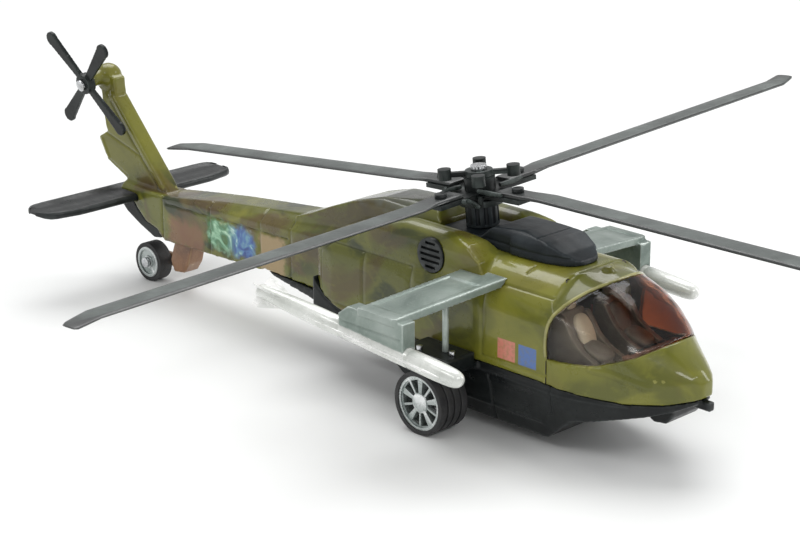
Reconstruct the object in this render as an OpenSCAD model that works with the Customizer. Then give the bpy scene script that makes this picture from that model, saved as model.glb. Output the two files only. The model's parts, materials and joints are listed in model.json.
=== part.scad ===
// Toy helicopter: metal-look body, free-spinning rotors and a pull-back wheel drive.
// +X is forward, +Y is the left (port) side, +Z is up. The wheels stand on z = 0.
// Lengths along X are drawn from the mast axis, then moved forward by mast_x.

/* [Main rotor] */
// Radius from the mast to a blade tip
rotor_r = 140; // [120:1:150]
// Width of a main blade
blade_chord = 7.5; // [6:0.5:9]
// Thickness of a main blade
blade_t = 1.15; // [0.9:0.05:1.5]
// How far the tips of the front and rear blades hang below their roots
blade_droop = 5.4; // [1:0.1:6]
// How far the tips of the left and right blades rise above their roots
blade_rise = 1; // [0:0.1:2]
// Lean of the mast towards the tail, degrees
mast_back = 4.3; // [0:0.1:5]
// Lean of the mast towards the right-hand side, degrees
mast_side = 2.8; // [0:0.1:3]

/* [Tail rotor] */
// Radius of the tail rotor
tail_rotor_r = 21.5; // [18:0.5:23]
// Cant of the tail rotor, its top leaning outwards, degrees
tail_cant = 12; // [0:1:13]

/* [Wheels] */
// Radius of a main tyre
tyre_r = 9; // [8.8:0.1:9.2]
// Radius of the tail tyre
tail_tyre_r = 6.5; // [6:0.1:7]
// Outer face of a main wheel, from the middle
track_y = 33; // [32:0.5:36]

/* [Wings] */
// Distance from the middle to a wing tip
wing_tip_y = 51.5; // [51:0.5:54]
// Distance from the middle to a missile
missile_y = 48.5; // [47:0.5:49]
// Length of a missile
missile_len = 79; // [70:1:84]

/* [Body] */
// Half the width of the cabin
cabin_w = 20; // [19.8:0.1:20.4]
// Height of the cabin roof
roof_z = 49; // [48.6:0.1:49.2]
// Wall of the body shells
wall = 1.6; // [1.2:0.1:2]

/* [Hidden] */
$fn = 64;
olive = [0.33, 0.34, 0.12];
black = [0.06, 0.07, 0.08];
slate = [0.16, 0.18, 0.22];
rotor_grey = [0.20, 0.22, 0.22];
silver = [0.62, 0.66, 0.64];
white_silver = [0.85, 0.87, 0.86];
amber = [0.35, 0.16, 0.08, 0.6];
cream = [0.80, 0.76, 0.66];
brown = [0.45, 0.33, 0.28];
steel = [0.70, 0.71, 0.73];
rubber = [0.05, 0.05, 0.05];
gear_white = [0.88, 0.87, 0.82];

fit = 0.04;                 // radial play of a turning shaft
snug = 0.02;                // radial play of a fixed pin
seam = 0.15;                // joint line between two body shells

hub_z = 61.8;               // top of the blade grips
blade_root_z = hub_z + 0.05;
mast_r = 1.5;
bolt_r = 0.9;
bolt_at = 15;               // radius of the blade bolts
grip_end = 18.5;
blade_start = 9;
blade_bend = 22;            // a blade hangs or rises from this radius outward
lead = -0.35 * blade_chord; // leading edge of a blade
trail = 0.65 * blade_chord; // trailing edge of a blade
tip_sweep = 2.8;
tip_len = 9;

tail_x = -169;              // tail rotor axis
tail_z = 64.6;
tail_y = -9.2;
paddle_r = 2.4;             // rounded end of a tail blade
tail_turn = 45;             // rest angle of the tail rotor
tail_reach = (tail_rotor_r - paddle_r) * sin(tail_turn) + paddle_r;
rotor_turn = -2.5;          // rest angle of the main rotor
tip_front = lead + tip_sweep + 0.8;
tip_back = trail + tip_sweep - 0.6;
tip_x = rotor_r * cos(rotor_turn) - tip_back * sin(rotor_turn);
tip_y = rotor_r * sin(rotor_turn) + tip_back * cos(rotor_turn);
rotor_reach = tip_x * cos(mast_back)
    - (tip_y * sin(mast_side) - (blade_droop - 0.05) * cos(mast_side)) * sin(mast_back);
mast_x = (tail_reach - tail_x - rotor_reach) / 2;

axle_x = 8.2;
axle_r = 1.5;
rim_r = tyre_r - 1.25;
tyre_w = 10.5;
belly_z = 3;                // underside of the deep tray
floor_z = belly_z + wall;

module_mm = 0.5;            // gear module
pinion_teeth = 10;
gear_teeth = 24;
gear_gap = module_mm * (pinion_teeth + gear_teeth) / 2;
gear_lift = 4.2;
gear_x = axle_x - sqrt(gear_gap * gear_gap - gear_lift * gear_lift);
gear_z = tyre_r + gear_lift;
mesh_dir = atan2(gear_lift, gear_x - axle_x);
arbor_r = 1;

tail_wheel_x = -148;
tail_pin_r = 0.9;
tail_rim_r = tail_tyre_r - 1.4;
stab_x = -166;
stab_chord = 16;
stab_half = 39.5;
stab_z = 28.5;
stab_t = 2.2;

wing_x = 11.4;
wing_chord = 14.4;
wing_z = 44.6;
wing_sweep = 7.4;
wing_droop = 8;             // degrees
wing_t = 2.2;
pylon_w = 4.8;
missile_x = 40;             // nose of a missile
missile_z = 28.5;
missile_pitch = 4.3;
missile_r = 2.7;

// Each screw: its place along X, the top of its head's recess and the top of the chassis under it.
screws = [[24, 6, 13.7], [-30, 17, 18.9], [-62, 19.5, 20.7]];
screw_r = 1.2;
head_r = 2.4;

// ---------- helpers ----------

// A half outline, closed by its mirror image across the X axis.
function both_sides(pts) = concat(pts, [for (i = [len(pts) - 1 : -1 : 0]) [pts[i][0], -pts[i][1]]]);

module from_mast() translate([mast_x, 0, 0]) children();

// Local frame of the leaning mast, turning about the middle of the hub.
module lean() translate([0, 0, hub_z]) rotate([mast_side, -mast_back, 0]) translate([0, 0, -hub_z])
    children();

module on_mast() from_mast() lean() rotate([0, 0, rotor_turn]) children();

// Local frame of the tail rotor: +Z points out of the right-hand side along its axis.
module at_tail() translate([tail_x, tail_y, tail_z]) rotate([90 + tail_cant, 0, 0]) children();

module side_prism(pts, half_w)
    rotate([90, 0, 0]) linear_extrude(height = 2 * half_w, center = true) polygon(pts);

module plan_prism(pts, z0, z1)
    translate([0, 0, z0]) linear_extrude(height = z1 - z0) polygon(pts);

module along_x(x0, x1)
    translate([x0, 0, 0]) rotate([90, 0, 90]) linear_extrude(height = x1 - x0) children();

module rod_y(x, z, r, y0, y1)
    translate([x, y0, z]) rotate([-90, 0, 0]) cylinder(r = r, h = y1 - y0);

module rod_z(x, y, r, z0, z1)
    translate([x, y, z0]) cylinder(r = r, h = z1 - z0);

module block(x0, x1, y0, y1, z0, z1)
    translate([x0, y0, z0]) cube([x1 - x0, y1 - y0, z1 - z0]);

// An arch: straight sides, both top corners rounded.
module arch(half_w, z0, z1, r) {
    translate([-half_w, z0]) square([2 * half_w, z1 - r - z0]);
    if (half_w > r) translate([r - half_w, z0]) square([2 * (half_w - r), z1 - z0]);
    for (s = [-1, 1]) translate([s * (half_w - r), z1 - r]) circle(r = r);
}

// ---------- outer shape of cabin and nose ----------

nose_z = 24;                // height of the nose's own axis
body_side = [
    [-49.5, 31], [-49.5, 37], [-46, 42], [-38, 46.3], [-26, roof_z], [48, roof_z], [90, roof_z],
    [90, 25.6], [79.4, 21.6], [74, 20.4], [66, 20], [52, 20.4], [40, 21], [-33, 21], [-38, 22],
    [-44, 24.3], [-48, 27.5]
];
body_half_plan = [
    [82, 1], [81, 2.6], [79, 5], [76.5, 7.6], [73.5, 10.1], [70, 12.4], [65.5, 14.9], [60, 17.2],
    [54, 19], [48, cabin_w], [-40, cabin_w], [-45, 19.4], [-48.3, 17.6], [-49.6, 14.5]
];
// Radius of the nose at each place along X.
nose_line = [
    [-60, 30], [40, 30], [44, 25.4], [50, 24.4], [55, 22.8], [60, 20.3], [64.5, 17.2], [68.5, 13.9],
    [72, 11.2], [76, 8.2], [79.6, 5.2], [81.6, 2.8], [82.4, 0]
];
inner_side = [
    [-47.5, 20], [-47.9, 36.4], [-44.8, 40.7], [-37.2, 44.8], [-26, roof_z - wall],
    [48, roof_z - wall], [90, roof_z - wall], [90, 15], [-40, 15]
];
inner_half_plan = [
    [80, 0.8], [77.4, 4.2], [75, 6.6], [72.2, 8.8], [69, 10.9], [64.7, 13.3], [59.4, 15.6],
    [53.5, 17.4], [47.8, cabin_w - wall], [-40, cabin_w - wall], [-44.3, 17.9], [-47, 16.4],
    [-47.9, 14]
];
sill = [[43, 27.9], [57, 29], [67, 32.6], [73.5, 36.6], [90, 47]];

corner_r = 13;              // roof corners

// A body of revolution about the nose's axis, thinned by inset.
module nose_round(inset)
    translate([0, 0, nose_z]) rotate([0, 90, 0]) rotate_extrude(convexity = 4)
        polygon(concat([[0, -60]], [for (p = nose_line) if (p[1] > inset) [p[1] - inset, p[0]]],
            [[0, nose_line[len(nose_line) - 2][0] - inset]]));

module body_envelope() intersection() {
    side_prism(body_side, 30);
    plan_prism(both_sides(body_half_plan), 10, 60);
    along_x(-60, 90) arch(cabin_w, 10, roof_z, corner_r);
    nose_round(0);
}

module body_hollow() intersection() {
    side_prism(inner_side, 30);
    plan_prism(both_sides(inner_half_plan), 10, 60);
    along_x(-60, 90) arch(cabin_w - wall, 10, roof_z - wall, corner_r - wall);
    union() {
        nose_round(wall);
        block(-60, 76, -30, 30, 10, nose_z);
    }
}

// Room taken by the windshield: a round rear edge and the sill below.
module glass_zone(r, lift) intersection() {
    rod_y(61, 32, r, -30, 30);
    translate([0, 0, lift]) side_prism(concat(sill, [[90, 60], [30, 60], [30, 27.9]]), 30);
}

module nose_zone(x0, drop)
    translate([0, 0, -drop])
        side_prism(concat([[x0, 5], [x0, 27.9]], sill, [[90, 5]]), 30);

// ---------- outer shape of engines, boom and fin ----------

nacelle_y = 13.5;
nacelle_r = 5.1;
nacelle_top = 53.5;
nacelle_side = [
    [-40, 38], [-31, 45.5], [-22, 50.6], [-12, nacelle_top], [4, nacelle_top], [12, 51.6],
    [17, 48.2], [19, 44], [19, 40]
];
hump_side = [
    [-8, 40], [-8, 52], [-11, 55.4], [-20, 55.4], [-32, 54], [-44, 50.5], [-53, 47], [-62, 43],
    [-69, 40.5], [-69, 36], [-40, 36]
];
boom_side = [
    [-40, 44], [-62, 43], [-69, 40.7], [-104, 36.8], [-136, 32.3], [-159.2, 32.3], [-159.4, 29],
    [-153.6, 28.5], [-150.2, 24.9], [-146.2, 21.7], [-139.6, 20.2], [-135.6, 17.2], [-84, 20.2],
    [-82.5, 21], [-40, 21]
];
boom_half_plan = [[-40, 12], [-60, 10.6], [-82, 9.2], [-110, 7.4], [-136, 5.6], [-160, 4.2]];
fin_side = [
    [-136, 32], [-162.4, 60], [-163, 66], [-168, 68], [-170.5, 61.5], [-167.8, 47.5],
    [-172.8, 44.7], [-168.7, 37.6], [-158.6, 33.2], [-157.8, 31.5], [-140, 30]
];
fin_band = [[-140.2, 33], [-138.6, 33], [-164, 60], [-165.8, 60]];

module nacelles() for (s = [-1, 1]) intersection() {
    side_prism(nacelle_side, 30);
    along_x(-40, 19) translate([s * nacelle_y, 0]) arch(nacelle_r, 36, nacelle_top, nacelle_r);
}

module hump() intersection() {
    side_prism(hump_side, 12);
    along_x(-70, -8) arch(8, 30, 55.4, 5);
}

module boom() intersection() {
    side_prism(boom_side, 20);
    plan_prism(both_sides(boom_half_plan), 10, 60);
    union() {
        translate([-160, 0, 28.5]) rotate([0, 90, 0]) cylinder(r1 = 4.6, r2 = 15.5, h = 120);
        block(-160, -40, -15, 15, 10, 28.5);
    }
}

module fin() {
    side_prism(fin_side, 2.4);
    side_prism(fin_band, 3);
    translate([tail_x, 0, tail_z + 0.7]) sphere(r = 4.6);
    at_tail() rod_z(0, 0, 2.3, -10, -1.8);
}

module stab_plate(grow) {
    half = stab_half + grow;
    translate([0, 0, stab_z - stab_t / 2 - grow])
        linear_extrude(height = stab_t + 2 * grow)
            polygon(both_sides([
                [stab_x - grow, half - 3], [stab_x + 4, half], [stab_x + 10, half],
                [stab_x + 13.5, half - 1.2], [stab_x + 15, half - 4],
                [stab_x + stab_chord + grow, half - 12]
            ]));
}

// ---------- body shells ----------

module cabin_shell() color(olive) from_mast() difference() {
    union() {
        difference() {
            union() {
                difference() {
                    body_envelope();
                    nose_zone(43, 0);
                    glass_zone(18, 0);
                }
                nacelles();
                hump();
                boom();
                fin();
            }
            body_hollow();
            translate([-125, 0, 29.6]) rotate([0, 90, 0]) cylinder(r1 = 3.6, r2 = 6.6, h = 79);
        }
        lean() rod_z(0, 0, 4, 42.3, roof_z - 0.8);
        for (i = [0, 1]) rod_z(screws[i][0], 0, 3, screws[i][2] + 0.3, roof_z - 1);
        translate([47, 0, 48.3]) sphere(r = 2);
    }
    lean() rod_z(0, 0, mast_r + fit, 40, 60);
    for (p = screws) rod_z(p[0], 0, screw_r + snug, 10, 26);
    at_tail() rod_z(0, 0, 1 + fit, -10.5, 2);
    stab_plate(0.05);
    for (s = [-1, 1]) rod_y(exhaust_x, exhaust_z, exhaust_r + 0.05, s * 19.4 - 2, s * 19.4 + 2);
}

module nose_shell() color(olive) from_mast() difference() {
    intersection() {
        body_envelope();
        nose_zone(43 + seam, 0);
    }
    body_hollow();
}

module windshield() color(amber) from_mast() difference() {
    intersection() {
        body_envelope();
        glass_zone(18 - seam, seam);
    }
    body_hollow();
}

cowling_side = [
    [-7.7, roof_z + 0.05], [-7.7, 51], [8, 51.6], [12, 55], [22, 55.8], [31, 54.8],
    [37, 52.4], [40, 50.4], [40.4, roof_z + 0.05]
];
cowling_half_plan = [
    [40.4, 2], [39.6, 4.4], [37, 6.6], [32, 8.2], [26, 8.9], [19.4, 8.9], [19.4, 8.2],
    [-7.7, 8.2]
];

module roof_cowling() color(slate) from_mast() difference() {
    intersection() {
        side_prism(cowling_side, 12);
        plan_prism(both_sides(cowling_half_plan), 45, 60);
        along_x(-10, 45) arch(9, 40, 55.8, 4);
    }
    lean() rod_z(0, 0, mast_r + fit, 45, 60);
}

exhaust_x = -1;
exhaust_z = 46.4;
exhaust_r = 4.9;

module exhaust(s) difference() {
    rod_y(exhaust_x, exhaust_z, exhaust_r, s * 18.2 - 0.7, s * 18.2 + 0.7);
    for (i = [-2 : 2]) let (half = sqrt(pow(exhaust_r - 1, 2) - pow(1.7 * i, 2)))
        translate([exhaust_x - half, s * 18.6 - 0.7, exhaust_z + 1.7 * i - 0.4])
            cube([2 * half, 1.4, 0.8]);
}

module exhaust_left() color(black) from_mast() exhaust(1);

module exhaust_right() color(black) from_mast() exhaust(-1);

// ---------- chassis ----------

chassis_side = [
    [80.6, 21.7], [79.8, 20.4], [76, 18.6], [70, 16.6], [62, 14.6], [50.5, 11.6],
    [39.5, belly_z], [-9, belly_z], [-17, 11], [-24, 14.5], [-41, 16.3], [-78, 19.7], [-80, 20.7],
    [40, 20.7], [52, 20.2], [66, 19.8], [74, 20.2], [79.4, 21.4]
];
chassis_hollow_side = [
    [78.2, 25], [78, 21.2], [75.4, 20.1], [69.5, 18.2], [61.6, 16.2], [49.6, 13.1],
    [38.7, floor_z], [-8.2, floor_z], [-16, 12.4], [-23.4, 16], [-36, 17.4], [-36, 25]
];
chassis_half_plan = [
    [80.4, 2.4], [78.6, 4.8], [76, 7.4], [73, 9.8], [69.6, 12], [65, 14.4], [59.6, 16.6],
    [53.6, 18.4], [48, 19.4], [-47, 19.4], [-51, 12.6], [-80, 9]
];
chassis_hollow_half_plan = [
    [78.4, 1.6], [76.6, 4.4], [74.4, 6.6], [71.6, 8.8], [68.4, 10.7], [64.2, 12.9], [59, 15],
    [53.2, 16.8], [47.6, 17.8], [-46, 17.8]
];
chassis_section = [[14.6, belly_z], [15.8, 3.8], [17.4, 9], [18.6, 14.2], [19.4, 16.5], [19.4, 30]];
hollow_section = [[14.4, floor_z], [15.8, 9.3], [17, 14.4], [17.8, 16.8], [17.8, 30]];
chin_side = [[67, 17.4], [67.6, 14.6], [69, 13.8], [73, 14.2], [75, 16.4], [75.4, 19.4]];
cheek_side = [
    [-49.2, 17.6], [-49.2, 30], [-48.3, 27.4], [-47.6, 26.8], [-43.8, 23.8], [-38, 21.6], [-33, 20.6],
    [-33, 17]
];

// A section symmetric about the middle, given as its right half.
module section(pts)
    polygon(concat(pts, [for (i = [len(pts) - 1 : -1 : 0]) [-pts[i][0], pts[i][1]]]));

module chassis_envelope() intersection() {
    side_prism(chassis_side, 30);
    plan_prism(both_sides(chassis_half_plan), 0, 40);
    along_x(-90, 90) section(chassis_section);
}

// Mudguard over a wheel, with a step that clears the side of the cabin.
module sponson() {
    block(0, 18, 17.5, 31.5, tyre_r * 2 + 0.9, 20.7);
    block(0, 18, 20.6, 31.5, tyre_r * 2 + 0.9, 23.5);
}

module chassis() color(black) from_mast() difference() {
    union() {
        difference() {
            chassis_envelope();
            intersection() {
                side_prism(chassis_hollow_side, 30);
                plan_prism(both_sides(chassis_hollow_half_plan), 0, 40);
                along_x(-90, 90) section(hollow_section);
            }
        }
        for (s = [0, 1]) mirror([0, s, 0]) {
            sponson();
            translate([0, 16.6, 0]) side_prism(cheek_side, 2.6);
            rod_z(54, 10, 2, 13.5, 20.9);
        }
        intersection() {
            chassis_envelope();
            for (i = [0, 1]) rod_z(screws[i][0], 0, 4, belly_z, screws[i][2]);
        }
        side_prism(chin_side, 6.5);
        block(78, 83, -1.3, 1.3, 18.9, 21.3);
    }
    rod_y(axle_x, tyre_r, axle_r + 0.1, -40, 40);
    for (p = screws) {
        rod_z(p[0], 0, head_r + 0.2, 0, p[1]);
        rod_z(p[0], 0, screw_r + 0.1, p[1] - 1, 22);
    }
}

module chassis_screws() color(steel) from_mast() for (p = screws) {
    rod_z(p[0], 0, head_r, p[1] - 1.2, p[1] - 0.1);
    rod_z(p[0], 0, screw_r, p[1] - 0.5, min(p[1] + 19, 24.8));
}

module gear_studs() color(steel) from_mast()
    for (s = [-1, 1]) {
        rod_z(15.5, s * 27, 0.9, 23.55, 24.8);
        rod_z(6, s * 30, 0.9, 23.55, 24.8);
    }

// ---------- cockpit ----------

module cockpit_floor() color(black) from_mast()
    plan_prism(both_sides([[71, 5], [69, 9.6], [65, 11.8], [60, 14], [54, 16], [49, 17], [28, 17]]),
        21, 22.2);

seat_side = [
    [37, 22.25], [55, 22.25], [56, 26.4], [50.5, 28.4], [46.5, 31.4], [42, 39], [38.6, 38.4], [38, 30]
];

module seat(s) {
    translate([0, s * 8.4, 0]) side_prism(seat_side, 4.2);
    for (t = [-1, 1]) translate([0, s * 8.4 + t * 4.8, 0])
        side_prism([[37.4, 22.25], [55.4, 22.25], [56.6, 27.6], [51.2, 29.8], [47.6, 32.4],
            [43.4, 38], [40, 37.4], [38.4, 30]], 0.9);
}

module seat_left() color(cream) from_mast() seat(1);

module seat_right() color(cream) from_mast() seat(-1);

module dash_panel() color(brown) from_mast()
    side_prism([[60, 22.25], [67, 22.25], [67.4, 28.4], [64.4, 31.8], [61, 31]], 10.5);

// ---------- wings and missiles ----------

module missile_place() translate([missile_x, missile_y, missile_z]) rotate([0, missile_pitch, 0])
    children();

module missile_body(grow) {
    r = missile_r + grow;
    rotate([0, -90, 0]) rotate_extrude() polygon([
        [0, 0], [1.2, 0.25], [1.9, 0.9], [r - 0.3, 2.4], [r - 0.1, 6], [r, 12], [r, 56],
        [r - 0.5, missile_len - 1], [r - 1, missile_len], [0, missile_len]
    ]);
}

module missile() {
    missile_body(0);
    for (a = [45 : 90 : 315]) rotate([a, 0, 0])
        translate([-missile_len, -0.35, 0]) rotate([90, 0, 0]) translate([0, 0, -0.7])
            linear_extrude(height = 0.7)
                polygon([[0.6, 1.2], [0.6, 4.9], [4, 4.9], [12, 2.2]]);
}

module wing_half() difference() {
    union() {
        translate([0, 15, wing_z]) rotate([-wing_droop, 0, 0])
            translate([0, 0, -wing_t / 2]) linear_extrude(height = wing_t) polygon([
                [wing_x, 0], [wing_x + wing_chord, 0],
                [wing_x + wing_chord - wing_sweep, wing_tip_y - 15.6],
                [wing_x + wing_chord - wing_sweep - 1.4, wing_tip_y - 14.6],
                [wing_x - wing_sweep, wing_tip_y - 14.6]
            ]);
        translate([0, missile_y, 0]) side_prism(
            [[-0.5, 39.6], [20.5, 39.6], [20.5, 31], [-4, 33], [-4, 37]], pylon_w / 2);
    }
    missile_place() missile_body(0.03);
    body_envelope();
    nacelles();
}

module wing_left() color(silver) from_mast() wing_half();

module wing_right() color(silver) from_mast() mirror([0, 1, 0]) wing_half();

module strut() difference() {
    rod_z(12, 26, 0.9, 23.55, 48);
    translate([0, 15, wing_z]) rotate([-wing_droop, 0, 0])
        translate([0, -5, -wing_t / 2 - 0.03]) cube([40, 40, 12]);
}

module strut_left() color(silver) from_mast() strut();

module strut_right() color(silver) from_mast() mirror([0, 1, 0]) strut();

module missile_left() color(white_silver) from_mast() missile_place() missile();

module missile_right() color(white_silver) from_mast() mirror([0, 1, 0]) missile_place() missile();

// ---------- tail ----------

module tail_cap() color(black) from_mast() difference() {
    side_prism([
        [-138.6, 17.2], [-142.4, 16.6], [-150, 19.6], [-156.4, 22.8], [-159.2, 25.4],
        [-159.5, 28.5], [-153.9, 28.5], [-150.4, 24.7], [-146.3, 21.5], [-139.6, 20]
    ], 4.4);
    stab_plate(0.05);
}

module stabilator() color(black) from_mast() stab_plate(0);

module tail_leg() color(brown) from_mast() difference() {
    union() {
        translate([0, 1.1, 0]) side_prism(
            [[-125.6, 17.6], [-134.6, 17.1], [-137.4, 9.4], [-135.6, 5.8], [-130.6, 6.4], [-128, 10]], 3);
        translate([0, 3.5, 0]) side_prism(
            [[-132, 9.4], [-147, 9.4], [-149.8, 8], [-150.4, 5.8], [-148.6, 4.2], [-132, 6.4]], 0.9);
    }
    rod_y(tail_wheel_x, tail_tyre_r, tail_pin_r + snug, 0, 6);
}

module tail_axle() color(steel) from_mast() {
    rod_y(tail_wheel_x, tail_tyre_r, tail_pin_r, -4, 4.4);
    rod_y(tail_wheel_x, tail_tyre_r, 1.7, -4.4, -3.5);
}

module tail_wheel_hub() color(silver) from_mast() difference() {
    rod_y(tail_wheel_x, tail_tyre_r, tail_rim_r, -3.2, 2.2);
    rod_y(tail_wheel_x, tail_tyre_r, tail_pin_r + 0.06, -5, 5);
    for (y = [-3.8, 1.6]) difference() {
        rod_y(tail_wheel_x, tail_tyre_r, tail_rim_r - 0.9, y, y + 1.2);
        rod_y(tail_wheel_x, tail_tyre_r, 2.1, y, y + 1.2);
    }
}

module tail_tyre() color(rubber) from_mast() difference() {
    rod_y(tail_wheel_x, tail_tyre_r, tail_tyre_r, -3, 2);
    rod_y(tail_wheel_x, tail_tyre_r, tail_rim_r + snug, -5, 5);
}

module tail_rotor() color(rotor_grey) from_mast() at_tail() difference() {
    union() {
        rod_z(0, 0, 3.4, -1.5, 1.5);
        for (a = [0 : 90 : 270]) rotate([0, 0, a + tail_turn])
            translate([0, 0, -0.65]) linear_extrude(height = 1.3) {
                polygon([[2, -1.2], [tail_rotor_r - 3, -2.2], [tail_rotor_r - 3, 2.2], [2, 1.2]]);
                translate([tail_rotor_r - paddle_r, 0]) circle(r = paddle_r);
            }
    }
    rod_z(0, 0, 1 + snug, -3, 3);
}

module tail_rotor_pin() color(steel) from_mast() at_tail() {
    rod_z(0, 0, 1, -10.4, 2);
    rod_z(0, 0, 1.9, 1.55, 2.6);
}

// ---------- main rotor ----------

module mast_sleeve() color(slate) on_mast() difference() {
    rod_z(0, 0, 4.7, 51.7, 57.6);
    rod_z(0, 0, mast_r + 0.08, 50, 60);
    for (a = [0 : 30 : 330]) rotate([0, 0, a]) translate([4.9, 0, 52.4]) cylinder(r = 0.7, h = 6);
}

module mast_shaft() color(steel) on_mast() difference() {
    union() {
        rod_z(0, 0, mast_r, 41, 65.4);
        rod_z(0, 0, 2.6, 40.6, 42);
    }
    rod_z(0, 0, 0.7 + snug, 61, 66);
}

module rotor_hub() color(rotor_grey) on_mast() difference() {
    union() {
        rod_z(0, 0, 6.4, 57.9, 59.6);
        rod_z(0, 0, 5, 59.5, hub_z);
        rod_z(0, 0, 4.4, hub_z - 0.5, 65.5);
        for (a = [0 : 90 : 270]) rotate([0, 0, a]) block(0, grip_end, -3.6, 3.6, 60.5, hub_z);
        for (a = [45 : 90 : 315]) rotate([0, 0, a]) rod_z(5.8, 0, 0.8, 59, 61.2);
    }
    rod_z(0, 0, mast_r + snug, 50, 70);
    for (a = [0 : 90 : 270]) rotate([0, 0, a]) rod_z(bolt_at, 0, bolt_r + snug, 55, 65);
}

module absorber_star() color(rotor_grey) on_mast() difference() {
    union() {
        rod_z(0, 0, 3.9, 65.55, 67.4);
        for (a = [45 : 90 : 315]) rotate([0, 0, a]) {
            block(0, 9.4, -0.9, 0.9, 65.8, 67.1);
            rod_z(9.6, 0, 1.9, 65.1, 68.2);
        }
    }
    rod_z(0, 0, 0.7 + snug, 60, 70);
}

module rotor_cap() color(steel) on_mast() {
    rod_z(0, 0, 0.7, 61.2, 68);
    rod_z(0, 0, 2.3, 67.45, 68.8);
}

blade_plan = [
    [blade_start, -3.2], [19, -3.2], [25, lead], [rotor_r - tip_len, lead],
    [rotor_r, tip_front], [rotor_r, tip_back],
    [rotor_r - 1, trail + tip_sweep - 0.2], [rotor_r - tip_len, trail], [25, trail], [19, 3.2],
    [blade_start, 3.2]
];

module blade(a, lift) rotate([0, 0, a]) difference() {
    intersection() {
        translate([0, 0, blade_root_z]) side_prism([
            [blade_start, 0], [blade_bend, 0], [rotor_r, lift],
            [rotor_r, blade_t + lift], [blade_bend, blade_t], [blade_start, blade_t]
        ], 20);
        plan_prism(blade_plan, 40, 80);
    }
    rod_z(bolt_at, 0, bolt_r + snug, 55, 70);
}

module blade_front() color(rotor_grey) on_mast() blade(0, -blade_droop);

module blade_left() color(rotor_grey) on_mast() blade(90, blade_rise);

module blade_rear() color(rotor_grey) on_mast() blade(180, -blade_droop);

module blade_right() color(rotor_grey) on_mast() blade(270, blade_rise);

module blade_bolts() color(black) on_mast()
    for (a = [0 : 90 : 270]) rotate([0, 0, a]) {
        rod_z(bolt_at, 0, bolt_r, 60.3, 63.6);
        rod_z(bolt_at, 0, 1.7, blade_root_z + blade_t + 0.05, 64.2);
    }

// ---------- wheels ----------

module main_axle() color(steel) from_mast() rod_y(axle_x, tyre_r, axle_r, 1.7 - track_y, track_y - 1.7);

module spoke_slots() for (i = [0 : 9]) rotate([0, 0, 36 * i + (i % 2 == 0 ? 2.5 : -2.5)])
    translate([0, 0, -1]) linear_extrude(height = 20)
        polygon([[2.9, -0.5], [rim_r - 1.2, -1.45], [rim_r - 1.2, 1.45], [2.9, 0.5]]);

// A wheel rim with its outer face up.
module rim() difference() {
    union() {
        difference() {
            cylinder(r = rim_r, h = tyre_w - 0.4);
            translate([0, 0, -1]) cylinder(r = rim_r - 1, h = tyre_w - 1.6);
            translate([0, 0, tyre_w - 1]) cylinder(r = rim_r - 0.8, h = 2);
        }
        translate([0, 0, tyre_w - 2.8]) cylinder(r = rim_r - 0.4, h = 1.6);
        translate([0, 0, 1]) cylinder(r = 2.7, h = tyre_w - 1.8);
    }
    translate([0, 0, -1]) cylinder(r = axle_r + snug, h = tyre_w - 0.6);
    translate([0, 0, tyre_w - 3.4]) spoke_slots();
}

module tyre() difference() {
    cylinder(r = tyre_r, h = tyre_w);
    translate([0, 0, -1]) cylinder(r = rim_r + snug, h = tyre_w + 2);
    for (i = [0 : 2]) translate([0, 0, 2.2 + 2.6 * i]) difference() {
        cylinder(r = tyre_r + 1, h = 0.7);
        translate([0, 0, -1]) cylinder(r = tyre_r - 0.5, h = 3);
    }
}

module at_wheel() translate([axle_x, track_y - tyre_w, tyre_r]) rotate([-90, 0, 0]) children();

module rim_left() color(silver) from_mast() at_wheel() rim();

module rim_right() color(silver) from_mast() mirror([0, 1, 0]) at_wheel() rim();

module tyre_left() color(rubber) from_mast() at_wheel() tyre();

module tyre_right() color(rubber) from_mast() mirror([0, 1, 0]) at_wheel() tyre();

// ---------- pull-back motor ----------

// A spur gear outline with slim straight-sided teeth; tooth 0 points along X.
function gear_points(teeth) = let (p = module_mm * teeth / 2, step = 360 / teeth) [
    for (i = [0 : teeth - 1]) for (c = [[-0.27, -0.52], [-0.11, 0.46], [0.11, 0.46], [0.27, -0.52]])
        [(p + c[1]) * cos((i + c[0]) * step), (p + c[1]) * sin((i + c[0]) * step)]
];

module gear(teeth, bore, h) linear_extrude(height = h) difference() {
    polygon(gear_points(teeth));
    circle(r = bore);
}

module axle_pinion() color(gear_white) from_mast()
    translate([axle_x, 6.2, tyre_r]) rotate([90, 0, 0])
        rotate([0, 0, mesh_dir]) gear(pinion_teeth, axle_r + 0.01, 4);

module spring_gear() color(gear_white) from_mast()
    translate([gear_x, 5.8, gear_z]) rotate([90, 0, 0])
        rotate([0, 0, mesh_dir + 180 + 180 / gear_teeth]) gear(gear_teeth, arbor_r + snug, 3.2);

module spring_arbor() color(steel) from_mast() rod_y(gear_x, gear_z, arbor_r, -8.6, 8.6);

spring_turns = 4;
spring_pitch = 1.05;
spring_t = 0.35;
function spiral(r0) = [for (i = [0 : 24 * spring_turns])
    let (a = 15 * i, r = r0 + spring_pitch * a / 360) [r * cos(a), r * sin(a)]];
function reversed(pts) = [for (i = [len(pts) - 1 : -1 : 0]) pts[i]];

module mainspring() color(steel) from_mast()
    translate([gear_x, -1, gear_z]) rotate([90, 0, 0]) linear_extrude(height = 4)
        polygon(concat(spiral(1.4), reversed(spiral(1.4 + spring_t))));

case_x0 = gear_x - 8.2;
case_x1 = axle_x + 4.8;

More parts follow.
